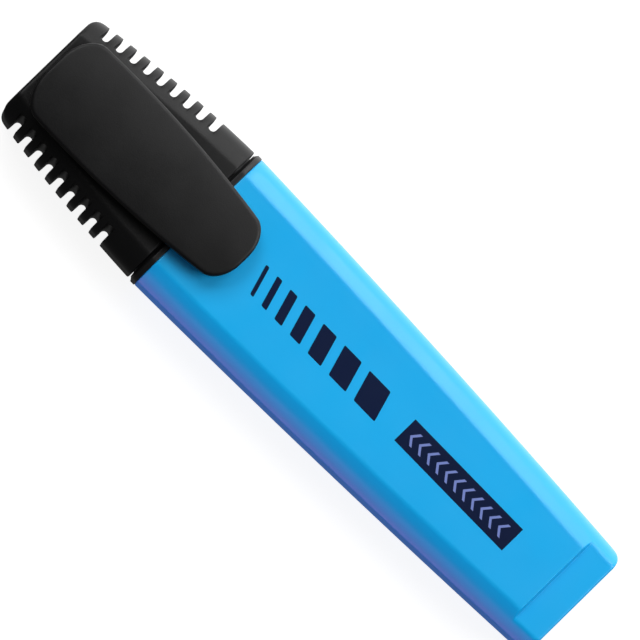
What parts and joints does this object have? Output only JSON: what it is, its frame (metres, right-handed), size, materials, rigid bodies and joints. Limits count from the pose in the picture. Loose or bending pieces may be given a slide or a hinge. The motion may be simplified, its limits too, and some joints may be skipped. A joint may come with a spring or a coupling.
{
  "type": "highlighter pen",
  "caption": "Flat highlighter with a bevelled blue barrel, a black pull-off cap with slotted edges and a paddle clip, and a chisel nib.",
  "frame": {"origin": "under the middle of the closed pen, on the flat surface that its back face lies on", "axes": "+X along the pen from the barrel to the cap, +Z out of the front face that carries the clip"},
  "size_m": [0.116, 0.0272, 0.0178],
  "materials": {
    "barrel_plastic": "smooth moulded plastic, soft gloss",
    "cap_plastic": "fine matt moulded plastic",
    "section_plastic": "smooth moulded plastic, satin",
    "seal_plastic": "soft translucent white plastic",
    "nib_felt": "dense felt soaked with blue ink",
    "reservoir_fibre": "bundled fibre soaked with blue ink",
    "reservoir_wrap": "thin wrapping film"
  },
  "bodies": {
    "barrel": {"barrel_shell": "barrel_plastic", "end_plug": "barrel_plastic", "front_section": "section_plastic", "nib": "nib_felt", "reservoir_core": "reservoir_fibre", "reservoir_film": "reservoir_wrap"},
    "cap": {"cap_shell": "cap_plastic", "inner_cap": "seal_plastic"},
    "clip": {"cap_clip": "cap_plastic"}
  },
  "joints": [
    {"name": "cap_pull", "type": "slide", "parent": "barrel", "child": "cap", "axis": [1, 0, 0], "range_m": [0, 0.04]},
    {"name": "clip_flex", "type": "hinge", "parent": "cap", "child": "clip", "pos_m": [0.0544, 0, 0.014], "axis": [0, 1, 0], "range_deg": [0, 6], "stiffness_Nm_per_rad": 1.2}
  ]
}
